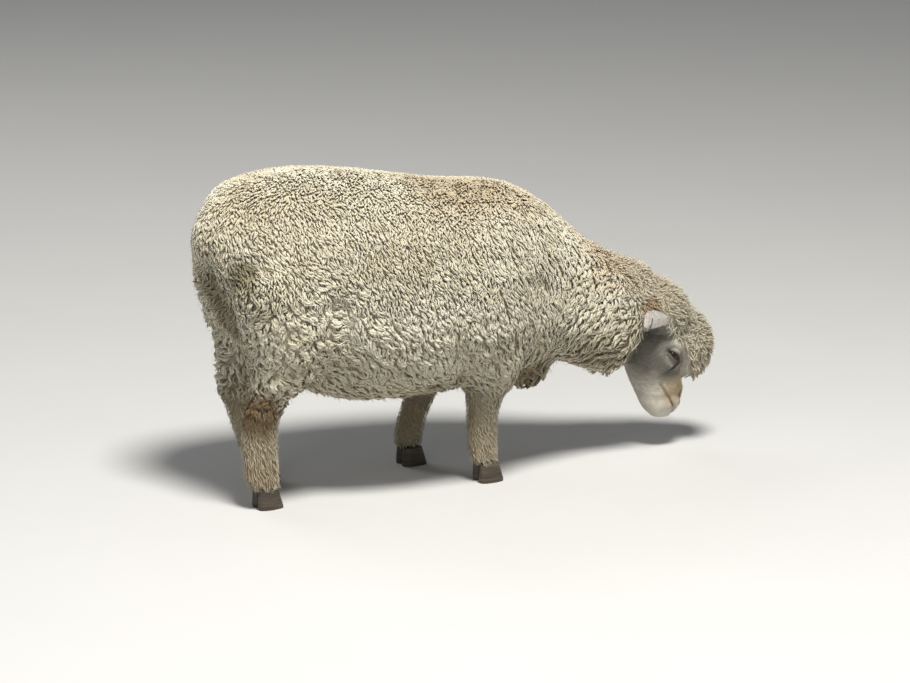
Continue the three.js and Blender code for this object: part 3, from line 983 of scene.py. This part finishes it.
def mark_skin(skin, lines):
    """Writes the face's markings and painted shade, and how felt-like the wool is, on the skin."""
    points = coordinates(skin.data)
    write_values(skin.data, face_marks(points, lines) | {"felt": on_head_wool(points)})


# ---- Strands ----

def strand_paths(strands, s):
    """Centre lines of many strands at once, at shares s of their length from root to tip."""
    col = {k: v[:, None] for k, v in strands.items() if v.ndim == 1}
    swing = 2 * math.pi * (col["waves"] * s + col["phase"])
    bend = np.where(np.abs(col["curl"]) < 0.02, 0.02, col["curl"])
    arc = bend * s**1.35
    along_by = col["reach"] * np.sin(arc) / bend
    across_by = col["reach"] * (1 - np.cos(arc)) / bend + col["sway"] * s**0.6 * np.sin(swing)
    up_by = col["rise"] * (1 - (1 - s) ** 2.2) + col["ripple"] * s**0.6 * (np.cos(swing) - 1)
    along, up = strands["along"], strands["up"]
    parts = ((along, along_by), (np.cross(up, along), across_by), (up, up_by))
    path = strands["at"][:, None, :] + sum(way[:, None, :] * by[..., None] for way, by in parts)
    return path + strands["pull"][:, None, :] * (s**0.75)[..., None]


def tube_faces(count, rings, sides):
    """Face sizes and corners of many tubes that end in a point, one after another."""
    each = (rings - 1) * sides + 1
    r, k = np.meshgrid(np.arange(rings - 2), np.arange(sides), indexing="ij")
    a, b = r * sides + k, r * sides + (k + 1) % sides
    quads = np.stack((a, b, b + sides, a + sides), axis=-1).reshape(-1)
    last = (rings - 2) * sides + np.arange(sides)
    tips = np.stack((last, np.append(last[1:], last[0]), np.full(sides, each - 1)), axis=-1)
    one = np.concatenate((quads, tips.reshape(-1)))
    corners = (np.arange(count)[:, None] * each + one).reshape(-1)
    sizes = np.tile(np.repeat((4, 3), ((rings - 2) * sides, sides)), count)
    return sizes, corners


def strand_mesh(strands, rings, sides, shape):
    """Tapered tubes on the paths: points, and the place of one strand's points along and around it."""
    even = np.linspace(0, 1, rings)[None, :]
    s = 1 - (1 - even) ** 1.3
    path = strand_paths(strands, s)
    tangent = unit(np.gradient(path, axis=1))
    side = unit(np.cross(tangent, strands["up"][:, None, :]) + 1e-4 * strands["along"][:, None, :])
    over = np.cross(side, tangent)
    wide = (strands["width"][:, None] / 2 * shape(s[:, :-1]))[..., None, None]
    thick = wide * strands["flat"][:, None, None, None]
    turn = np.linspace(0, 2 * math.pi, sides, endpoint=False) + math.pi / 2
    ring = path[:, :-1, None, :] + side[:, :-1, None, :] * wide * np.cos(turn)[:, None]
    ring = ring + over[:, :-1, None, :] * thick * np.sin(turn)[:, None]
    points = np.concatenate((ring.reshape(len(path), -1, 3), path[:, -1:, :]), axis=1)
    place = np.append(np.repeat(s[0, :-1], sides), 1.0)
    around = np.append(np.tile(np.arange(sides) / sides, rings - 1), 0.5)
    return points.reshape(-1, 3), place, around


def lock_shape(s):
    """Width along a strand of wool: full soon after the root, with a blunt tip."""
    return (0.65 + 0.35 * np.sin(math.pi * np.clip(s * 1.05, 0, 1))) * (1 - 0.45 * s**5)


def hair_shape(s):
    return 1 - 0.75 * s


PATCH = 0.003  # side of a lock's own patch on the bake map
MAP_VOXEL = 0.018
MAP_MARGIN = 0.004


class SkinMap:
    """An unwrap of the skin's own shape, to look up where each root lies on it."""

    def __init__(self, points, tris):
        mesh = remeshed(add_triangles("skin_map", points, tris.reshape(-1)), MAP_VOXEL)
        holder = linked("skin_map", mesh)
        mesh.uv_layers.new(name="map")
        bpy.context.view_layer.objects.active = holder
        holder.select_set(True)
        bpy.ops.object.mode_set(mode="EDIT")
        bpy.ops.mesh.select_all(action="SELECT")
        bpy.ops.uv.smart_project(angle_limit=math.radians(66), island_margin=MAP_MARGIN)
        bpy.ops.object.mode_set(mode="OBJECT")
        tris = triangles(mesh)
        points = coordinates(mesh)
        self.uv = fetched(mesh.uv_layers[0].data, "uv", 2)[triangles(mesh, "loops")]
        self.corners = points[tris]
        self.tree = BVHTree.FromPolygons(points.tolist(), tris.tolist())
        bpy.data.objects.remove(holder)

    def place(self, roots):
        """Where the nearest point of the skin lies on the map, for each root."""
        hits = [self.tree.find_nearest(p) for p in roots.tolist()]
        index = np.array([h[2] for h in hits])
        near = np.array([h[0] for h in hits])
        a, b, c = (self.corners[index, k] for k in range(3))
        whole = np.cross(b - a, c - a)
        size = np.maximum((whole * whole).sum(axis=1), 1e-20)
        wb = (np.cross(near - a, c - a) * whole).sum(axis=1) / size
        wc = (np.cross(b - a, near - a) * whole).sum(axis=1) / size
        weights = np.stack((1 - wb - wc, wb, wc), axis=1)[..., None]
        return (self.uv[index] * weights).sum(axis=1)


def add_strands(name, strands, skin_map, rings, sides, shape, material):
    """One piece of the coat, with the values that its material reads and a place on the bake map."""
    count = len(strands["at"])
    points, place, around = strand_mesh(strands, rings, sides, shape)
    sizes, corners = tube_faces(count, rings, sides)
    piece = add_mesh(name, points, sizes, corners)
    of_root = [key for key in ("tone", "dark_and_shade", "nose", "brown", "face_shade") if key in strands]
    write_values(piece.data, {"place": np.tile(place, count), "around": np.tile(around, count)})
    write_values(piece.data, {key: np.repeat(strands[key], len(place)) for key in of_root})
    patch = np.stack((around - 0.45, place - 0.5), axis=-1) * PATCH
    uv = (skin_map.place(strands["at"])[:, None, :] + patch).reshape(-1, 2).astype(np.float32)
    layer = piece.data.uv_layers.new(name="OFBake")
    layer.data.foreach_set("uv", uv[corners].ravel())
    piece.data.materials.append(material)
    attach(piece, "root")


# Rings along a strand, and its sides, by piece of the coat: fewer where strands are short or seldom seen.
STRAND_MESH = {
    "rump": (7, 3), "thigh": (8, 4), "side": (7, 3), "skirt": (8, 4), "shoulder": (8, 3), "neck": (8, 4),
    "head": (6, 3), "shank": (5, 3), "under": (7, 3),
}


def piece_names(p, up):
    """The piece of the coat that each root belongs to."""
    shares = wool_regions(p, up)
    x, _, z = p.T
    part = np.full(len(p), "side", object)
    part[x > -0.06] = "shoulder"
    part[(x < 0.20) & (z < 0.42)] = "skirt"
    part[x < -0.34] = "rump"
    part[(x < -0.34) & (z < 0.44)] = "thigh"
    part[x > 0.15] = "neck"
    for name in ("head", "shank", "under"):
        part[shares[name] > 0.5] = name
    side = np.where(p[:, 1] < 0, "right", "left")
    return np.array([f"{a}_{b}" for a, b in zip(part, side)])


def plant_coat(skin, lines):
    """Adds the wool piece by piece, then the loose fibres, the hair of the face and the down of the ears."""
    ground = Ground(skin.data)
    skin_map = SkinMap(ground.points, ground.tris)
    wool = wool_material()
    strands = wool_strands(ground)
    names = piece_names(strands["at"], strands["up"])
    for name in np.unique(names):
        mine = chosen(strands, names == name)
        rings, sides = STRAND_MESH[name.split("_")[0]]
        add_strands(f"wool_{name}", mine, skin_map, rings, sides, lock_shape, wool)
    add_strands("wool_fluff", fluff(ground), skin_map, 5, 3, hair_shape, wool)
    hair = hair_material()
    for name, strands in zip(("face_hair", "face_down"), face_hairs(ground, lines)):
        add_strands(name, strands, skin_map, 4, 3, hair_shape, hair)
    add_strands("ear_down", ear_hairs(ground, lines), skin_map, 4, 3, hair_shape, ear_material())


# ---- Materials ----

class Nodes:
    """Short ways to wire a node material."""

    def __init__(self, name):
        self.material = bpy.data.materials.new(name)
        self.material.use_nodes = True
        self.tree = self.material.node_tree
        self.shader = self.tree.nodes["Principled BSDF"]

    def feed(self, sockets, inputs):
        """Links sockets to others, or sets constants on them."""
        for key, value in inputs.items():
            if isinstance(value, bpy.types.NodeSocket):
                self.tree.links.new(value, sockets[key])
            elif np.isscalar(value):
                sockets[key].default_value = value
            else:  # a place, or a colour with its alpha left out
                sockets[key].default_value = (*value, 1)[: len(sockets[key].default_value)]

    def add(self, kind, inputs, **settings):
        node = made_with(self.tree.nodes.new(kind), **settings)
        self.feed(node.inputs, inputs)
        return node.outputs

    def surface(self, inputs):
        self.feed(self.shader.inputs, inputs)

    def place(self):
        return self.add("ShaderNodeTexCoord", {})["Object"]

    def height(self):
        return self.add("ShaderNodeSeparateXYZ", {"Vector": self.place()})["Z"]

    def stretched(self, scale):
        """The place, with a scale for each axis."""
        return self.add("ShaderNodeMapping", {"Vector": self.place(), "Scale": scale})["Vector"]

    def value(self, name):
        return self.add("ShaderNodeAttribute", {}, attribute_name=name)["Fac"]

    def noise(self, scale, detail, where=None):
        where = where or self.place()
        inputs = {"Scale": scale, "Detail": detail, "Roughness": 0.55, "Vector": where}
        return self.add("ShaderNodeTexNoise", inputs)["Fac"]

    def ramp(self, factor, *stops):
        node = self.tree.nodes.new("ShaderNodeValToRGB")
        elements = node.color_ramp.elements
        while len(elements) < len(stops):
            elements.new(0.5)
        for element, (position, value) in zip(elements, stops):
            element.position = position
            element.color = (value, value, value, 1) if np.isscalar(value) else (*value, 1)
        self.feed(node.inputs, {"Fac": factor})
        return node.outputs["Color"]

    def patches(self, scale, detail, low, high, most=1.0):
        """Soft patches: nothing where the noise is under low, the most where it is over high."""
        return self.ramp(self.noise(scale, detail), (low, 0.0), (high, most))

    def mix(self, factor, first, second):
        return self.add("ShaderNodeMix", {"Factor": factor, 6: first, 7: second}, data_type="RGBA")[2]

    def maths(self, operation, *values):
        return self.add("ShaderNodeMath", dict(enumerate(values)), operation=operation)["Value"]

    def tinted(self, colour, tint, where, strength):
        return self.mix(self.maths("MULTIPLY", where, strength), colour, tint)

    def spot(self, at, radius):
        """1 at a place on the animal, fading to 0 at a radius, with a ragged edge."""
        away = self.add("ShaderNodeVectorMath", {0: self.place(), 1: at}, operation="DISTANCE")["Value"]
        ragged = self.maths("MULTIPLY_ADD", self.noise(30, 4), radius * 0.7, away)
        return self.ramp(self.maths("DIVIDE", ragged, radius * 1.35), (0.65, 1.0), (1.0, 0.0))

    def fibres(self, count):
        """Ridges along a strand."""
        return self.maths("SINE", self.maths("MULTIPLY", self.value("around"), 2 * math.pi * count))

    def bumped(self, height, strength, distance):
        inputs = {"Strength": strength, "Distance": distance, "Height": height}
        self.surface({"Normal": self.add("ShaderNodeBump", inputs)["Normal"]})


CREAM = (0.53, 0.475, 0.335)
PALE = (0.69, 0.645, 0.505)
BRIGHT = (0.80, 0.765, 0.645)
TAN = (0.48, 0.375, 0.225)
BROWN = (0.17, 0.105, 0.04)
ORANGE = (0.47, 0.285, 0.12)
# dirt, and painted shade under the tail and the belly
DIRT_AND_SHADE = (0.19, 0.16, 0.07)
# painted shade at the roots of the locks
ROOT_SHADE = (0.31, 0.245, 0.15)
# painted shade on the skin seen between the locks
SHADE_BETWEEN_LOCKS = (0.19, 0.14, 0.08)
# Places on the fleece with a colour of their own, stains and dirt, some of them with painted shade: place,
# radius, colour, strength.
STAINS_AND_SHADE = [
    ((-0.05, -0.05, 0.645), 0.14, TAN, 0.65),
    ((0.10, -0.08, 0.63), 0.11, TAN, 0.45),
    ((0.29, -0.03, 0.44), 0.12, ORANGE, 0.30),
    ((0.42, 0.0, 0.37), 0.12, ORANGE, 0.22),
    # orange tint with painted shade, in the gap between each ear's upper edge and the head wool
    ((0.420, -0.088, 0.330), 0.036, ORANGE, 0.7),
    ((0.420, 0.088, 0.330), 0.036, ORANGE, 0.7),
    ((-0.545, -0.13, 0.50), 0.050, DIRT_AND_SHADE, 0.85),
    ((-0.52, -0.16, 0.45), 0.06, DIRT_AND_SHADE, 0.45),
    ((-0.520, -0.125, 0.205), 0.064, BROWN, 1.0),
    ((-0.475, 0.12, 0.20), 0.058, BROWN, 0.8),
    ((-0.505, -0.11, 0.07), 0.045, TAN, 0.6),
    # dirt, and painted shade of the hollow under the tail
    ((-0.545, 0.0, 0.42), 0.10, DIRT_AND_SHADE, 0.6),
    ((0.13, -0.03, 0.18), 0.10, BROWN, 0.6),
    # dirt, and painted shade of the underside
    ((-0.10, 0.0, 0.18), 0.20, DIRT_AND_SHADE, 0.45),
]
# dark skin of lid rims and tear lines, and painted shade in nostrils, creases and ear slits
DARK_SKIN_AND_SHADE = (0.030, 0.021, 0.016)  # of rims, nostrils and slits
# The face's markings, the first of them painted shade: the value that each is stored under, its colour and
# its strength.
FACE_TINTS = [
    ("face_shade", (0.19, 0.178, 0.148), 0.90),
    ("brown", (0.46, 0.355, 0.225), 0.85),
    ("nose", (0.17, 0.12, 0.09), 0.7),
]
EAR_DARK = (0.33, 0.300, 0.272)
EAR_PALE = (0.51, 0.485, 0.445)


def low_down(nodes, on_back):
    """How strong the painted shade between the locks is: 1 on the lower half of the animal, fading to a
    lesser value on its back.
    """
    return nodes.ramp(nodes.height(), (0.28, 1.0), (0.48, on_back))


def fleece_colour(nodes, tone=0.0):
    """The fleece's colour by place on the animal, for skin and coat, with stains, dirt and some painted
    shade; the tone makes it brighter.
    """
    colour = nodes.mix(nodes.patches(9, 4, 0.35, 0.65), CREAM, PALE)
    colour = nodes.mix(tone, colour, BRIGHT)
    colour = nodes.mix(nodes.patches(3.5, 3, 0.45, 0.75, 0.35), colour, TAN)
    # Tan towards the belly: partly dirt, partly painted shade of the underside.
    belly = nodes.ramp(nodes.height(), (0.17, 0.75), (0.27, 0.0))
    colour = nodes.mix(nodes.maths("MULTIPLY", belly, nodes.noise(14, 3)), colour, TAN)
    for at, radius, spot_colour, strength in STAINS_AND_SHADE:
        colour = nodes.tinted(colour, spot_colour, nodes.spot(at, radius), strength)
    return colour


def wool_material():
    """Wool in locks, painted darker towards each lock's root as shade between the locks, with fine ridges
    along each lock.
    """
    nodes = Nodes("wool")
    colour = fleece_colour(nodes, nodes.ramp(nodes.value("tone"), (0, 0.0), (1, 0.40)))
    # Painted shade: each lock darkens towards its root, less on the back than low down.
    root = nodes.ramp(nodes.value("place"), (0.05, 0.75), (0.5, 0.0))
    colour = nodes.mix(nodes.maths("MULTIPLY", root, low_down(nodes, 0.25)), colour, ROOT_SHADE)
    nodes.surface({"Base Color": colour, "Roughness": 0.85, "Specular IOR Level": 0.25})
    nodes.surface({"Sheen Weight": 0.25, "Sheen Roughness": 0.5})
    nodes.bumped(nodes.maths("MULTIPLY_ADD", nodes.fibres(8), 0.35, nodes.noise(900, 3)), 0.6, 0.0008)
    return nodes.material


def face_colour(nodes, colour):
    """The face's markings and painted shade over a given tone of hair, the same on skin and hair."""
    for mark, tint, strength in FACE_TINTS:
        colour = nodes.tinted(colour, tint, nodes.value(mark), strength)
    return nodes.mix(nodes.value("dark_and_shade"), colour, DARK_SKIN_AND_SHADE)


def skin_material():
    """The skin: painted dark under the wool, as shade between the locks, and like the hair on face and ears.
    """
    nodes = Nodes("skin")
    # Painted shade between the locks: the skin under the wool darkens, less under the felted wool of the head
    # and on the back.
    felted = nodes.maths("MULTIPLY_ADD", nodes.value("felt"), -0.35, 0.70)
    shade = nodes.maths("MULTIPLY", felted, low_down(nodes, 0.40))
    under = nodes.mix(shade, fleece_colour(nodes), SHADE_BETWEEN_LOCKS)
    hair = nodes.mix(nodes.patches(26, 5, 0.35, 0.7), (0.45, 0.41, 0.34), (0.66, 0.63, 0.55))
    ear = nodes.mix(nodes.patches(60, 3, 0.3, 0.7), EAR_DARK, EAR_PALE)
    ear = nodes.mix(nodes.value("dark_and_shade"), ear, DARK_SKIN_AND_SHADE)
    colour = nodes.mix(nodes.value("bare"), under, face_colour(nodes, hair))
    colour = nodes.mix(nodes.value("ear"), colour, ear)
    nodes.surface({"Base Color": colour, "Roughness": 0.75, "Specular IOR Level": 0.3})
    nodes.bumped(nodes.noise(420, 4, nodes.stretched((1.0, 1.0, 0.28))), 0.8, 0.0014)
    return nodes.material


def finished_hair(nodes, colour):
    nodes.surface({"Base Color": colour, "Roughness": 0.7, "Specular IOR Level": 0.3})
    nodes.bumped(nodes.noise(900, 2), 0.3, 0.0003)
    return nodes.material


def hair_material():
    nodes = Nodes("face_hair")
    hair = nodes.mix(nodes.value("tone"), (0.42, 0.38, 0.31), (0.80, 0.77, 0.70))
    return finished_hair(nodes, face_colour(nodes, hair))


def ear_material():
    nodes = Nodes("ear_hair")
    colour = nodes.mix(nodes.value("tone"), EAR_DARK, EAR_PALE)
    colour = nodes.mix(nodes.noise(70, 3), colour, (0.50, 0.485, 0.45))
    return finished_hair(nodes, nodes.mix(nodes.value("dark_and_shade"), colour, DARK_SKIN_AND_SHADE))


def eye_material():
    nodes = Nodes("eyeball")
    colour = nodes.mix(nodes.noise(160, 3), (0.008, 0.005, 0.004), (0.022, 0.013, 0.007))
    nodes.surface({"Base Color": colour, "Roughness": 0.22, "Specular IOR Level": 0.3})
    return nodes.material


def hoof_material():
    """Horn with level bands of growth."""
    nodes = Nodes("horn")
    bands = nodes.noise(60, 3, nodes.stretched((0.25, 0.25, 3.0)))
    colour = nodes.mix(nodes.ramp(bands, (0.35, 0.0), (0.7, 1.0)), (0.030, 0.022, 0.016), (0.10, 0.075, 0.05))
    rough = nodes.ramp(nodes.noise(40, 3), (0.3, 0.4), (0.7, 0.65))
    nodes.surface({"Base Color": colour, "Roughness": rough})
    nodes.bumped(bands, 0.5, 0.001)
    return nodes.material


def floor_material():
    nodes = Nodes("floor")
    colour = nodes.ramp(nodes.noise(2, 3), (0, (0.52, 0.515, 0.50)), (1, (0.55, 0.545, 0.53)))
    nodes.surface({"Base Color": colour, "Roughness": 0.9})
    return nodes.material


# ---- Studio ----

FLOOR_HALF = 15
LAMP_AIM = (0, 0, 0.35)


def add_camera():
    az, el = math.radians(CAMERA_AZIMUTH), math.radians(CAMERA_ELEVATION)
    back = Vector((math.sin(az) * math.cos(el), -math.cos(az) * math.cos(el), math.sin(el)))
    data = bpy.data.cameras.new("camera")
    camera = linked("camera", made_with(data, lens=CAMERA_LENS, sensor_width=CAMERA_SENSOR, clip_end=60))
    camera.location = Vector(CAMERA_AIM) + back * CAMERA_DISTANCE
    camera.rotation_euler = back.to_track_quat("Z", "Y").to_euler()
    bpy.context.scene.camera = camera


def add_lamp(name, place, size, power, colour):
    """A round lamp that faces the animal."""
    disk = bpy.data.lights.new(name, "AREA")
    lamp = linked(name, made_with(disk, shape="DISK", size=size, energy=power, color=colour))
    lamp.location = place
    lamp.rotation_euler = (Vector(place) - Vector(LAMP_AIM)).to_track_quat("Z", "Y").to_euler()


def add_studio():
    corners = [(x * FLOOR_HALF, y * FLOOR_HALF, 0) for x, y in ((-1, -1), (1, -1), (1, 1), (-1, 1))]
    floor = add_mesh("floor", corners, [4], [0, 1, 2, 3])
    floor.data.materials.append(floor_material())
    add_lamp("key", (-0.4, -2.6, 5.5), 1.6, 580, (1.0, 0.98, 0.94))
    add_lamp("fill", (-4.5, -4.0, 3.0), 4.0, 55, (0.90, 0.95, 1.0))
    add_lamp("rim", (-1.5, 4.5, 4.0), 3.0, 60, (1, 1, 1))
    world = bpy.data.worlds.new("studio")
    bpy.context.scene.world = world
    world.use_nodes = True
    sky = world.node_tree.nodes["Background"].inputs
    sky["Color"].default_value = (0.86, 0.90, 0.95, 1)
    sky["Strength"].default_value = 0.17
    bpy.context.scene.view_settings.view_transform = "Standard"


# ---- Claws, eyes and assembly ----

CLAW_VOXEL = 0.0022
CLAW_RINGS = 7
CLAW_RING_HEIGHT = 0.00035


def add_hoof(node, horn):
    """One claw of a foot, rounded off and ringed with growth, in place of its solid."""
    mesh = remeshed(joined_solids([node], []), CLAW_VOXEL)
    hoof = linked(f"hoof_{node[5:]}", mesh)
    points = coordinates(mesh)
    low, high = points[:, 2].min(), points[:, 2].max()
    share = 0.5 * ease(low + 0.001, low + 0.006, points[:, 2])
    points = relaxed(points, edge_list(mesh), 10, share)
    move(mesh, points)
    height = (points[:, 2] - low) / (high - low)
    rings = np.sin(2 * math.pi * CLAW_RINGS * height + 2 * drift(points, 0.03, 5.0))
    raised = CLAW_RING_HEIGHT * rings * ease(0.05, 0.2, height)
    move(mesh, points + vertex_normals(mesh) * [1, 1, 0] * raised[:, None])
    mesh.shade_smooth()
    mesh.materials.append(horn)
    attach(hoof, "root")
    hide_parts(node)


def add_eye(node, glass):
    """A smooth eyeball of the same size in place of the faceted one."""
    low, high = (np.array(corner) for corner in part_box(node))
    eye = add_triangles(f"eyeball_{node[4:]}", *ball((low + high) / 2, (high - low) / 2, subdivisions=4))
    eye.data.materials.append(glass)
    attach(eye, "root")
    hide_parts(node)


def main():
    skin, lines = build_skin()
    add_ears(skin)
    mark_skin(skin, lines)
    plant_coat(skin, lines)
    skin.data.materials.append(skin_material())
    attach(skin, "root")
    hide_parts(*FLESH)
    horn = hoof_material()
    for name in sorted(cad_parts):
        if name.startswith("claw"):
            add_hoof(name, horn)
    glass = eye_material()
    for name in ("eye_left", "eye_right"):
        add_eye(name, glass)
    add_studio()
    add_camera()


main()
